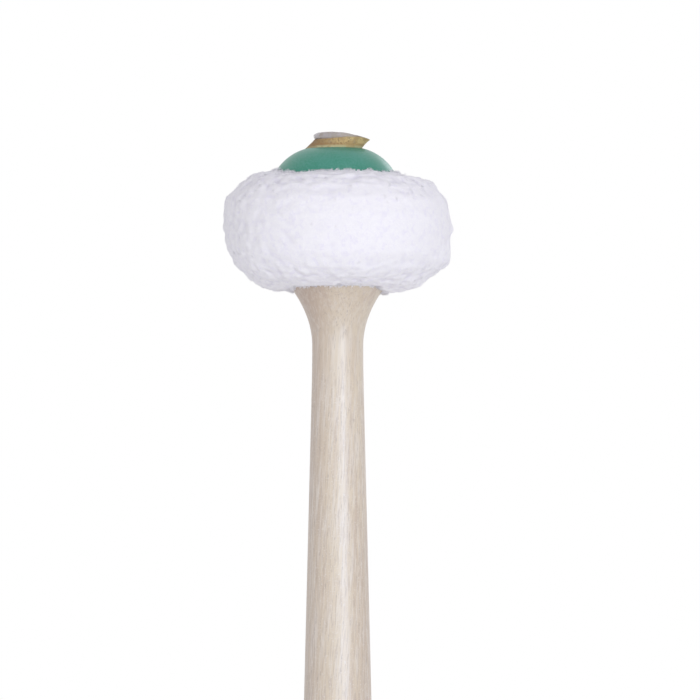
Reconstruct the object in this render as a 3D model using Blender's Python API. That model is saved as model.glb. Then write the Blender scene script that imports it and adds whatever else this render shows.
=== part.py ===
"""A timpani mallet held head up: a turned maple shaft, a moulded core on its shoulder, and a soft fleece head.

Units are metres, with +Z along the shaft towards the head. The origin is on the shaft's axis where the hand
holds it. Every height below is measured from the flat end of the butt, and every profile is a list of
(radius, height) points, which one parent empty then lowers into place.
"""

import math

import bmesh
import bpy

# Hold: the place between thumb and finger, which is the part's origin
HOLD_HEIGHT = 0.1100

# Shaft: one turned piece of maple, from the butt through the shoulder to the end of the tenon
BUTT_RADIUS = 0.0074
BUTT_ROUND = 0.0022
GRIP_RADIUS = 0.0082
GRIP_HEIGHT = 0.2110
GRIP_BLEND = 0.0240
NECK_RADIUS = 0.00562
NECK_HEIGHT = 0.3158
NECK_BLEND = 0.0040
FLARE_START_HEIGHT = 0.3209
SHOULDER_HEIGHT = 0.3362
SHOULDER_RADIUS = 0.0124
SHOULDER_ROUND = 0.0005
TENON_RADIUS = 0.0040
TENON_CHAMFER = 0.0006

# Lower washer: a leather ring between the shaft's shoulder and the core
WASHER_THICKNESS = 0.0012
WASHER_INSET = 0.0006

# Core: a moulded dome, bored for the tenon, which sits a little left of the shaft's axis
CORE_RADIUS = 0.0146
CORE_HEIGHT = 0.02615
CORE_EDGE_ROUND = 0.0025
CORE_SHIFT = -0.0006
DOME_ARC_RADIUS = 0.0110

# Inner felt: a strip wrapped once round the core, with an open joint at the back
FELT_THICKNESS = 0.0050
FELT_ABOVE_CORE_BASE = 0.0030
FELT_OVER_DOME = 0.0024
FELT_ROUND = 0.0022
FELT_JOINT_WIDTH = 0.0026

# Threads: a drawstring in each hem of the cover, and the stitching of its side seam
DRAWSTRING_RADIUS = 0.00045
SEAM_THREAD_RADIUS = 0.00025
SEAM_STITCHES = 8
SEAM_MARGIN = 0.0016

# Fleece cover: a thick ring drawn in over the dome at the top and against the shaft's flare below.
# Each lump is a wave: how often it goes round, how it turns on the way down in radians, and its share.
FLEECE_THICKNESS = 0.0050
TOP_HEM_WIDTH = 0.0021
BOTTOM_HEM_DROP = 0.0027
BOTTOM_ROLL = 0.0022
BOTTOM_ROLL_DROP = 0.0008
FLEECE_SQUARENESS = 2.15
FLEECE_LUMP = 0.00028
FLEECE_LUMPS = ((3, 5, -1.0), (5, -7, -0.8))
FLEECE_LEAN = 0.0010

# Leather disc: it closes the top of the core, and its cut edge leans to the right
DISC_RADIUS = 0.0061
DISC_THICKNESS = 0.00185
DISC_CROWN = 0.0005
DISC_SHIFT = -0.0003
DISC_LEAN = 0.0019

# Adhesive cap: clear glue that has set on the disc, thick at its left side and thin at its right
CAP_RADIUS = 0.0051
CAP_THICKNESS = 0.0012
CAP_EDGE = 0.00015
CAP_SHIFT = -0.0001

# Clearances between pieces that touch
SEAT_GAP = 0.0003
SEAT_MARGIN = 0.0002

# Facets: sides round the axis, steps along a curve, and angles in degrees
ROUND_SIDES = 48
FLEECE_SIDES = 40
THREAD_SIDES = 8
ARC_STEPS = 6
DOME_STEPS = 10
FLARE_STEPS = 12
BLEND_STEPS = 6
FELT_STEPS = 3
FLEECE_STEPS = 18
CHANNEL_STEPS = 4
CHANNEL_SWEEP = 75
CAP_RINGS = 6
SMOOTH_ANGLE = 40

# Sizes that follow from those above
WASHER_BASE = SHOULDER_HEIGHT + SEAT_GAP
CORE_BASE = WASHER_BASE + WASHER_THICKNESS + SEAT_GAP
CORE_TOP = CORE_BASE + CORE_HEIGHT
DOME_ARC_CENTRE = CORE_RADIUS - DOME_ARC_RADIUS
DISC_SEAT_RADIUS = DISC_RADIUS + abs(DISC_SHIFT) + SEAT_MARGIN
DOME_SEAT_ANGLE = math.asin((DISC_SEAT_RADIUS - DOME_ARC_CENTRE) / DOME_ARC_RADIUS)
DOME_BASE = CORE_TOP - DOME_ARC_RADIUS * math.cos(DOME_SEAT_ANGLE)
BORE_RADIUS = TENON_RADIUS + SEAT_GAP
TENON_TOP = CORE_TOP - SEAT_MARGIN
FELT_INNER = CORE_RADIUS + SEAT_GAP
FELT_OUTER = FELT_INNER + FELT_THICKNESS
FELT_BASE = CORE_BASE + FELT_ABOVE_CORE_BASE
FELT_TOP = DOME_BASE + FELT_OVER_DOME
FLEECE_OUTER = FELT_OUTER + SEAT_GAP + FLEECE_THICKNESS
DRAWSTRING_OFFSET = SEAT_GAP + DRAWSTRING_RADIUS
TOP_STRING_HEIGHT = FELT_TOP + DRAWSTRING_OFFSET
TOP_LIP_HEIGHT = TOP_STRING_HEIGHT + DRAWSTRING_OFFSET + TOP_HEM_WIDTH
BOTTOM_LIP_HEIGHT = SHOULDER_HEIGHT - BOTTOM_HEM_DROP
BOTTOM_STRING_HEIGHT = SHOULDER_HEIGHT - BOTTOM_HEM_DROP / 2
DISC_BASE = CORE_TOP + SEAT_GAP
DISC_TOP = DISC_BASE + DISC_THICKNESS


def clear_scene():
    """Remove everything that the scene holds."""
    for obj in list(bpy.data.objects):
        bpy.data.objects.remove(obj, do_unlink=True)


def linear(value):
    """One sRGB channel, 0 to 255, as the linear value that a shader takes."""
    share = value / 255
    return share / 12.92 if share <= 0.04045 else ((share + 0.055) / 1.055) ** 2.4


def finish(name, red, green, blue, roughness, alpha=1.0):
    """A plain Principled material of an sRGB colour."""
    material = bpy.data.materials.new(name)
    material.use_nodes = True
    shader = material.node_tree.nodes["Principled BSDF"]
    shader.inputs["Base Color"].default_value = (linear(red), linear(green), linear(blue), 1)
    shader.inputs["Roughness"].default_value = roughness
    shader.inputs["Metallic"].default_value = 0
    shader.inputs["Alpha"].default_value = alpha
    return material


def arc(centre, radius, start, end, steps):
    """Points of an arc from one angle to another, in degrees from the outward radius towards +Z."""
    points = []
    for step in range(steps + 1):
        angle = math.radians(start + (end - start) * step / steps)
        points.append((centre[0] + radius * math.cos(angle), centre[1] + radius * math.sin(angle)))
    return points


def blended(before, corner, after, reach):
    """A corner of a profile eased into a curve that leaves its two straight sides at the given reach."""

    def along(end):
        share = reach / math.dist(corner, end)
        return tuple(c + (e - c) * share for c, e in zip(corner, end))

    start, stop = along(before), along(after)
    points = []
    for step in range(BLEND_STEPS + 1):
        t = step / BLEND_STEPS
        weights = ((1 - t) ** 2, 2 * t * (1 - t), t**2)
        points.append(tuple(sum(w * p[k] for w, p in zip(weights, (start, corner, stop))) for k in (0, 1)))
    return points


def mesh_object(name, bm, material, parent):
    """A smooth-shaded object made from a bmesh whose faces are turned outwards."""
    bmesh.ops.recalc_face_normals(bm, faces=bm.faces)
    mesh = bpy.data.meshes.new(name)
    bm.to_mesh(mesh)
    bm.free()
    mesh.shade_smooth()
    mesh.set_sharp_from_angle(angle=math.radians(SMOOTH_ANGLE))
    mesh.materials.append(material)
    obj = bpy.data.objects.new(name, mesh)
    bpy.context.scene.collection.objects.link(obj)
    obj.parent = parent
    return obj


def spun(profile, closed):
    """A bmesh turned from a profile about Z. A closed profile is a ring, and an open one ends on the axis."""
    bm = bmesh.new()
    verts = [bm.verts.new((radius, 0, height)) for radius, height in profile]
    pairs = list(zip(verts, verts[1:]))
    if closed:
        pairs.append((verts[-1], verts[0]))
    edges = [bm.edges.new(pair) for pair in pairs]
    bmesh.ops.spin(
        bm,
        geom=verts + edges,
        cent=(0, 0, 0),
        axis=(0, 0, 1),
        angle=math.tau,
        steps=ROUND_SIDES,
        use_merge=True,
    )
    bmesh.ops.remove_doubles(bm, verts=bm.verts, dist=1e-6)
    return bm


def turned(name, profile, material, parent, closed=False):
    """A solid of revolution."""
    return mesh_object(name, spun(profile, closed), material, parent)


def flare_radius(height):
    """The shaft's radius between the neck and the shoulder, which opens as a parabola."""
    share = max(0.0, (height - FLARE_START_HEIGHT) / (SHOULDER_HEIGHT - FLARE_START_HEIGHT))
    return NECK_RADIUS + (SHOULDER_RADIUS - NECK_RADIUS) * share**2


def core_radius(height):
    """The core's outer radius at a height between its lower edge and the disc's seat."""
    rise = max(0.0, height - DOME_BASE)
    return DOME_ARC_CENTRE + math.sqrt(DOME_ARC_RADIUS**2 - rise**2)


def beside(radius_at, height, offset):
    """The point that lies an offset away from a turned surface, square to it."""
    step = 1e-5
    slope = (radius_at(height + step) - radius_at(height - step)) / (2 * step)
    length = math.hypot(1, slope)
    return (radius_at(height) + offset / length, height - offset * slope / length)


def shaft_profile():
    """The butt's flat end, the long grip, the taper to the neck, the flare, the seat and the tenon."""
    butt = (BUTT_RADIUS, BUTT_ROUND)
    grip = (GRIP_RADIUS, GRIP_HEIGHT)
    neck = (NECK_RADIUS, NECK_HEIGHT)
    flare_start = (NECK_RADIUS, FLARE_START_HEIGHT)
    profile = [(0, 0)]
    profile += arc((BUTT_RADIUS - BUTT_ROUND, BUTT_ROUND), BUTT_ROUND, -90, 0, ARC_STEPS)
    profile += blended(butt, grip, neck, GRIP_BLEND)
    profile += blended(grip, neck, flare_start, NECK_BLEND)
    flare_top = SHOULDER_HEIGHT - SHOULDER_ROUND
    for step in range(FLARE_STEPS + 1):
        height = FLARE_START_HEIGHT + (flare_top - FLARE_START_HEIGHT) * step / FLARE_STEPS
        profile.append((flare_radius(height), height))
    profile.append((flare_radius(flare_top) - SHOULDER_ROUND, SHOULDER_HEIGHT))
    profile.append((TENON_RADIUS, SHOULDER_HEIGHT))
    profile.append((TENON_RADIUS, TENON_TOP - TENON_CHAMFER))
    profile.append((TENON_RADIUS - TENON_CHAMFER, TENON_TOP))
    profile.append((0, TENON_TOP))
    return profile


def washer_profile():
    """A flat ring that clears the tenon and stops short of the shoulder's edge."""
    inner = TENON_RADIUS + SEAT_GAP
    outer = SHOULDER_RADIUS - WASHER_INSET
    top = WASHER_BASE + WASHER_THICKNESS
    return [(inner, WASHER_BASE), (outer, WASHER_BASE), (outer, top), (inner, top)]


def core_profile():
    """The bored core: a rounded lower edge, a straight side and a domed crown with a flat seat."""
    profile = [(BORE_RADIUS, CORE_TOP), (BORE_RADIUS, CORE_BASE)]
    edge_centre = (CORE_RADIUS - CORE_EDGE_ROUND, CORE_BASE + CORE_EDGE_ROUND)
    profile += arc(edge_centre, CORE_EDGE_ROUND, -90, 0, ARC_STEPS)
    dome_end = 90 - math.degrees(DOME_SEAT_ANGLE)
    profile += arc((DOME_ARC_CENTRE, DOME_BASE), DOME_ARC_RADIUS, 0, dome_end, DOME_STEPS)
    return profile


def add_core(material, parent):
    """The core, whose bore stays on the shaft's axis."""
    bm = spun(core_profile(), closed=True)
    for vert in bm.verts:
        if math.hypot(vert.co.x, vert.co.y) < BORE_RADIUS + SEAT_MARGIN:
            vert.co.x -= CORE_SHIFT
    return mesh_object("core", bm, material, parent)


def felt_outline(offset):
    """The felt's outer side with its two rounded corners, grown by an offset, from bottom to top."""
    centre = FELT_OUTER - FELT_ROUND
    points = arc((centre, FELT_BASE + FELT_ROUND), FELT_ROUND + offset, -90, 0, FELT_STEPS)
    points += arc((centre, FELT_TOP - FELT_ROUND), FELT_ROUND + offset, 0, 90, FELT_STEPS)
    return points


def add_inner_felt(material, parent):
    """The felt strip, spun almost all the way round so that its two ends leave a joint at the back."""
    bm = bmesh.new()
    profile = [(FELT_INNER, FELT_TOP), (FELT_INNER, FELT_BASE)] + felt_outline(0)
    joint = 2 * math.asin(FELT_JOINT_WIDTH / 2 / FELT_OUTER)
    start = math.pi / 2 + joint / 2
    verts = [bm.verts.new((r * math.cos(start), r * math.sin(start), z)) for r, z in profile]
    face = bm.faces.new(verts)
    bmesh.ops.spin(
        bm,
        geom=[face] + list(face.edges) + verts,
        cent=(0, 0, 0),
        axis=(0, 0, 1),
        angle=math.tau - joint,
        steps=ROUND_SIDES - 1,
    )
    return mesh_object("inner_felt", bm, material, parent)


def add_drawstring(name, centre, material, parent):
    """A thread drawn into a ring, round in section."""
    section = arc(centre, DRAWSTRING_RADIUS, 0, 360, THREAD_SIDES)[:-1]
    return turned(name, section, material, parent, closed=True)


def add_seam_thread(material, parent):
    """The stitches of the cover's side seam, which zigzag up inside the felt's open joint."""
    curve = bpy.data.curves.new("seam_thread", "CURVE")
    curve.dimensions = "3D"
    curve.bevel_depth = SEAM_THREAD_RADIUS
    curve.bevel_resolution = 1
    curve.use_fill_caps = True
    curve.materials.append(material)
    sway = FELT_JOINT_WIDTH / 2 - SEAT_GAP - SEAM_THREAD_RADIUS
    depth = FELT_OUTER - 2 * SEAM_THREAD_RADIUS
    low, high = FELT_BASE + SEAM_MARGIN, FELT_TOP - SEAM_MARGIN
    spline = curve.splines.new("POLY")
    spline.points.add(SEAM_STITCHES)
    for index, point in enumerate(spline.points):
        side = 1 if index % 2 else -1
        point.co = (side * sway * depth / FELT_OUTER, depth, low + (high - low) * index / SEAM_STITCHES, 1)
    obj = bpy.data.objects.new("seam_thread", curve)
    bpy.context.scene.collection.objects.link(obj)
    obj.parent = parent
    return obj


def fleece_outline():
    """The cover's outer side, half of a squarish ellipse from the lip on the dome to the roll under the head."""
    top_mouth = beside(core_radius, TOP_LIP_HEIGHT, SEAT_GAP)
    bottom_mouth = beside(flare_radius, BOTTOM_LIP_HEIGHT, SEAT_GAP)
    low = BOTTOM_LIP_HEIGHT - BOTTOM_ROLL_DROP
    middle, half_height = (top_mouth[1] + low) / 2, (top_mouth[1] - low) / 2
    points = [top_mouth]
    for step in range(1, FLEECE_STEPS + 1):
        angle = math.pi / 2 - math.pi * step / FLEECE_STEPS
        share = (1 + math.sin(angle)) / 2
        mouth = share * top_mouth[0] + (1 - share) * (bottom_mouth[0] + BOTTOM_ROLL)
        across = abs(math.cos(angle)) ** (2 / FLEECE_SQUARENESS)
        upwards = math.copysign(abs(math.sin(angle)) ** (2 / FLEECE_SQUARENESS), angle)
        points.append((mouth + (FLEECE_OUTER - mouth) * across, middle + half_height * upwards))
    return points + [bottom_mouth]


def channel(radius_at, height):
    """The hollow in the cover's inner side that holds a drawstring, from its lower edge to its upper one."""
    string = beside(radius_at, height, DRAWSTRING_OFFSET)
    surface = (radius_at(height), height)
    outward = math.degrees(math.atan2(string[1] - surface[1], string[0] - surface[0]))
    return arc(string, DRAWSTRING_OFFSET, outward - CHANNEL_SWEEP, outward + CHANNEL_SWEEP, CHANNEL_STEPS)


def fleece_lining():
    """The cover's inner side, from the lower lip over the drawstrings and the felt to the upper lip."""
    under = max(CORE_RADIUS, SHOULDER_RADIUS) + 2 * SEAT_GAP
    points = channel(flare_radius, BOTTOM_STRING_HEIGHT)
    points += [(SHOULDER_RADIUS + 2 * SEAT_GAP, SHOULDER_HEIGHT), (under, CORE_BASE)]
    points += felt_outline(SEAT_GAP)
    points += channel(core_radius, TOP_STRING_HEIGHT)
    points.append(beside(core_radius, TOP_LIP_HEIGHT - TOP_HEM_WIDTH / 2, SEAT_GAP))
    return points


def cover_point(radius, height, turn, along):
    """A point of the cover. Along runs from 0 at the upper lip to 1 at the lower, and is None on the inside."""
    climb = min(1.0, max(0.0, (height - SHOULDER_HEIGHT) / (FELT_BASE - SHOULDER_HEIGHT)))
    fullness = 0.0 if along is None else math.sin(math.pi * along)
    lump = sum(share * math.cos(times * turn + phase * (along or 0)) for times, phase, share in FLEECE_LUMPS)
    swollen = radius + FLEECE_LUMP * fullness * lump
    x = swollen * math.cos(turn) + CORE_SHIFT * (1 - fullness) * climb
    return (x, swollen * math.sin(turn), height - FLEECE_LEAN * fullness * math.cos(turn))


def add_fleece_cover(material, parent):
    """The fleece ring. Its outside is lumpy and leans a little, and its inside follows what it covers."""
    outline, lining = fleece_outline(), fleece_lining()
    profile = [(r, z, index / (len(outline) - 1)) for index, (r, z) in enumerate(outline)]
    profile += [(r, z, None) for r, z in lining]
    bm = bmesh.new()
    columns = []
    for side in range(FLEECE_SIDES):
        turn = math.tau * side / FLEECE_SIDES
        columns.append([bm.verts.new(cover_point(r, z, turn, along)) for r, z, along in profile])
    for column, beyond in zip(columns, columns[1:] + columns[:1]):
        for low in range(len(profile)):
            bm.faces.new((column[low - 1], column[low], beyond[low], beyond[low - 1]))
    return mesh_object("fleece_cover", bm, material, parent)


def disc_surface(x, y):
    """The height of the leather disc's crowned upper face."""
    spread = math.hypot(x - DISC_LEAN, y) / DISC_RADIUS
    return DISC_TOP + DISC_CROWN * (1 - spread**2)


def add_leather_disc(material, parent):
    """The disc, turned and then leant over from its seat."""
    rim = [(0, DISC_BASE), (DISC_RADIUS, DISC_BASE)]
    crown = [(DISC_RADIUS * share, DISC_TOP + DISC_CROWN * (1 - share**2)) for share in (1, 0.75, 0.5, 0.25, 0)]
    bm = spun(rim + crown, closed=False)
    for vert in bm.verts:
        vert.co.x += DISC_LEAN * min(1.0, (vert.co.z - DISC_BASE) / DISC_THICKNESS)
    obj = mesh_object("leather_disc", bm, material, parent)
    obj.location.x = DISC_SHIFT
    return obj


def add_adhesive_cap(material, parent):
    """The dried glue, a lens that lies on the disc's crown."""
    shares = [math.sin(math.pi / 2 * ring / CAP_RINGS) for ring in range(CAP_RINGS + 1)]
    lower = [(CAP_RADIUS * share, 0) for share in shares]
    upper = [(CAP_RADIUS * share, 1) for share in reversed(shares)]
    bm = spun(lower + upper, closed=False)
    for vert in bm.verts:
        x, y, is_top = vert.co
        spread = math.hypot(x, y) / CAP_RADIUS
        left = (1 - x / CAP_RADIUS) / 2
        thickness = CAP_EDGE + (CAP_THICKNESS - CAP_EDGE) * left * math.sqrt(max(0.0, 1 - spread**6))
        vert.co.x = x + CAP_SHIFT - DISC_SHIFT
        vert.co.z = disc_surface(vert.co.x, y) + SEAT_GAP + is_top * thickness
    obj = mesh_object("adhesive_cap", bm, material, parent)
    obj.location.x = DISC_SHIFT
    return obj


def empty(name, location, parent=None):
    """A bare reference point that carries pieces."""
    obj = bpy.data.objects.new(name, None)
    bpy.context.scene.collection.objects.link(obj)
    obj.location = location
    obj.parent = parent
    return obj


def build():
    """Make every piece of the mallet."""
    clear_scene()
    maple = finish("maple", 216, 200, 182, 0.38)
    green_core = finish("green_core", 84, 146, 130, 0.45)
    leather = finish("leather", 168, 144, 108, 0.7)
    felt = finish("felt", 226, 222, 212, 0.95)
    fleece = finish("fleece", 236, 234, 242, 1.0)
    thread = finish("thread", 228, 224, 216, 0.8)
    glue = finish("glue", 168, 162, 160, 0.3, alpha=0.75)

    shaft_axis = empty("shaft_axis", (0, 0, -HOLD_HEIGHT))
    core_axis = empty("core_axis", (CORE_SHIFT, 0, 0), shaft_axis)

    turned("shaft", shaft_profile(), maple, shaft_axis)
    turned("lower_washer", washer_profile(), leather, shaft_axis, closed=True)
    add_core(green_core, core_axis)
    add_inner_felt(felt, core_axis)
    add_fleece_cover(fleece, shaft_axis)
    bottom_string = beside(flare_radius, BOTTOM_STRING_HEIGHT, DRAWSTRING_OFFSET)
    add_drawstring("bottom_drawstring", bottom_string, thread, shaft_axis)
    top_string = beside(core_radius, TOP_STRING_HEIGHT, DRAWSTRING_OFFSET)
    add_drawstring("top_drawstring", top_string, thread, core_axis)
    add_seam_thread(thread, core_axis)
    add_leather_disc(leather, core_axis)
    add_adhesive_cap(glue, core_axis)


build()
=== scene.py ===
"""A timpani mallet: a lacquered maple shaft, a moulded core, a fleece head and a leather disc with its glue.

Units are metres, with +Z along the shaft towards the head and +X to the right as the camera sees it. The
origin is on the shaft's axis where the hand holds it. Each class holds the sizes of one sub-assembly, builds
its meshes and dresses them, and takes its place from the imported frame.
"""

import logging
import math
from dataclasses import dataclass, field, replace
from enum import Enum
from typing import Callable

import bmesh
import bpy
import numpy as np
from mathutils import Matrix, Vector, noise


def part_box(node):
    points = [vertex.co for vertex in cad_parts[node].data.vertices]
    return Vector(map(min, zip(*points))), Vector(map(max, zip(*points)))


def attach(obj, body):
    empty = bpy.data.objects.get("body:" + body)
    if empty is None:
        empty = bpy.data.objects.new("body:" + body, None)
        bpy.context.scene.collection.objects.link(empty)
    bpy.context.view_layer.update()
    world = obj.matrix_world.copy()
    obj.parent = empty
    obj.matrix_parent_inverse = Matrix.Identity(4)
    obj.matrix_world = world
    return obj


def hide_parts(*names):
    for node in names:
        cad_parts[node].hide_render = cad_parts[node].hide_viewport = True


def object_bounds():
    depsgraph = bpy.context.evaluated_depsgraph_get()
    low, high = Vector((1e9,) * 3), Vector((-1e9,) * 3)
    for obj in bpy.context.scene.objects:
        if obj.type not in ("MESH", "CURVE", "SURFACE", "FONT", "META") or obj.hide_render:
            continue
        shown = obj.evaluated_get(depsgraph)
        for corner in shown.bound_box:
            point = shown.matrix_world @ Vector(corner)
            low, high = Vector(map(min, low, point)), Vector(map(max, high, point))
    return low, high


Colour = tuple[float, float, float, float]
Triple = tuple[float, float, float]
Pair = tuple[float, float]
Point = Pair

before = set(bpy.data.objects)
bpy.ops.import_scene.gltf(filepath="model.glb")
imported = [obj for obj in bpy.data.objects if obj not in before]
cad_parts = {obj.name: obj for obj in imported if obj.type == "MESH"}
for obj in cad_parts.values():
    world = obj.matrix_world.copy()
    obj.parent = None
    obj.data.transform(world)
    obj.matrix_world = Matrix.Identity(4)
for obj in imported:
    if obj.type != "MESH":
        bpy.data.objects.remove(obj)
CAD_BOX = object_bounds()
BODY = "root"
MM = 0.001
WHITE: Colour = (1.0, 1.0, 1.0, 1.0)
NOISE_SEED = 4
LOG = logging.getLogger("mallet")

# The fleece's point attribute: how many millimetres a point stands out from those around it.
PROUD = "proud"


def srgb(red: float, green: float, blue: float) -> Colour:
    """The linear colour that a shader takes.

    Args:
        red: The red channel in sRGB, from 0 to 255.
        green: The green channel.
        blue: The blue channel.

    Returns:
        The channels as linear values, with an alpha of 1.
    """
    shares = (channel / 255 for channel in (red, green, blue))
    linear = (s / 12.92 if s <= 0.04045 else ((s + 0.055) / 1.055) ** 2.4 for s in shares)
    return (*linear, 1.0)


class Wire:
    """An output socket that takes part in Python arithmetic: each operator adds a Math node."""

    def __init__(self, graph: "Graph", socket: bpy.types.NodeSocket) -> None:
        """Keep the socket and the graph that its nodes go into."""
        self.graph = graph
        self.socket = socket

    def maths(self, operation: str, *values: "Wire | float") -> "Wire":
        """A Math node of this operation on the values, in their order."""
        return self.graph.add("ShaderNodeMath", {"operation": operation}, dict(enumerate(values)))

    def __add__(self, other: "Wire | float") -> "Wire":
        """The sum."""
        return self.maths("ADD", self, other)

    __radd__ = __add__

    def __sub__(self, other: "Wire | float") -> "Wire":
        """The difference."""
        return self.maths("SUBTRACT", self, other)

    def __rsub__(self, other: float) -> "Wire":
        """A number less this value."""
        return self.maths("SUBTRACT", other, self)

    def __mul__(self, other: "Wire | float") -> "Wire":
        """The product."""
        return self.maths("MULTIPLY", self, other)

    __rmul__ = __mul__

    def __abs__(self) -> "Wire":
        """This value without its sign."""
        return self.maths("ABSOLUTE", self)

    def or_more(self, other: "Wire") -> "Wire":
        """The greater of this value and another."""
        return self.maths("MAXIMUM", self, other)

    def above(self, low: float, high: float) -> "Wire":
        """A smooth step from 0 at the low value to 1 at the high one."""
        inputs = {"Value": self, "From Min": low, "From Max": high}
        return self.graph.add("ShaderNodeMapRange", {"interpolation_type": "SMOOTHSTEP"}, inputs)


class Graph:
    """A node tree, with one method for any node and a few for the ones used most."""

    def __init__(self, tree: bpy.types.NodeTree) -> None:
        """Keep the tree that the nodes go into."""
        self.tree = tree

    @staticmethod
    def socket(sockets: bpy.types.bpy_prop_collection, key: str | int) -> bpy.types.NodeSocket:
        """A socket by its place, its identifier or its name.

        Args:
            sockets: A node's inputs or outputs.
            key: The socket's place in them, or its identifier or name.

        Returns:
            The socket.
        """
        if isinstance(key, int):
            return sockets[key]
        return next((s for s in sockets if s.identifier == key), None) or sockets[key]

    def feed(self, socket: bpy.types.NodeSocket, value: "Wire | float | Colour") -> None:
        """Link a wire to an input socket, or set the value that the socket holds.

        Args:
            socket: The input.
            value: The wire, number or colour for it.
        """
        if isinstance(value, Wire):
            self.tree.links.new(value.socket, socket)
        else:
            socket.default_value = value

    def add(
        self, kind: str, settings: dict | None = None, inputs: dict | None = None, output: str | int = 0
    ) -> Wire:
        """Add a node, set it up and then feed it.

        Args:
            kind: The node's type.
            settings: Its properties.
            inputs: The value or the wire of each input socket.
            output: The output that is wanted.

        Returns:
            The wire of that output.
        """
        node = self.tree.nodes.new(kind)
        for key, value in (settings or {}).items():
            setattr(node, key, value)
        for key, value in (inputs or {}).items():
            self.feed(self.socket(node.inputs, key), value)
        return Wire(self, self.socket(node.outputs, output))

    def mix(self, low: "Wire | Colour", high: "Wire | Colour", share: Wire) -> Wire:
        """A colour that goes from low to high as the share goes from 0 to 1."""
        inputs = {"Factor_Float": share, "A_Color": low, "B_Color": high}
        return self.add("ShaderNodeMix", {"data_type": "RGBA"}, inputs, "Result_Color")

    def place(self, stretch: Triple = (1, 1, 1)) -> Wire:
        """The surface's own coordinates in metres, stretched."""
        here = self.add("ShaderNodeTexCoord", output="Object")
        return self.add("ShaderNodeVectorMath", {"operation": "MULTIPLY"}, {0: here, 1: stretch})

    def along(self, axis: str) -> Wire:
        """The surface's own coordinate along X, Y or Z, in metres."""
        return self.add("ShaderNodeSeparateXYZ", None, {0: self.place()}, axis)

    def noise(self, where: Wire, size: float, detail: float = 2.0, distortion: float = 0.0) -> Wire:
        """Noise from 0 to 1 whose blobs are about one size across, in metres of the coordinates given."""
        inputs = {"Vector": where, "Scale": 1 / size, "Detail": detail, "Distortion": distortion}
        return self.add("ShaderNodeTexNoise", None, inputs, "Fac")


class Material(Graph):
    """A material's node tree round its Principled shader."""

    def __init__(self, name: str, **constants: "float | Colour") -> None:
        """Make the material.

        Args:
            name: The material's name.
            constants: Values for the shader's sockets, named in lower case with underscores.
        """
        self.block = bpy.data.materials.new(name)
        self.block.use_nodes = True
        super().__init__(self.block.node_tree)
        self.shader = self.tree.nodes["Principled BSDF"]
        self.wear(**constants)

    def wear(self, **values: "Wire | float | Colour") -> None:
        """Feed the shader's sockets, named in lower case with underscores."""
        for key, value in values.items():
            self.feed(self.shader.inputs[key.replace("_", " ").title().replace("Ior", "IOR")], value)

    def bump(self, height: Wire, depth: float, strength: float) -> None:
        """Feed the shader's normal from a height between 0 and 1 that stands for a depth in metres."""
        inputs = {"Height": height, "Distance": depth, "Strength": strength}
        self.wear(normal=self.add("ShaderNodeBump", None, inputs))


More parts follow.
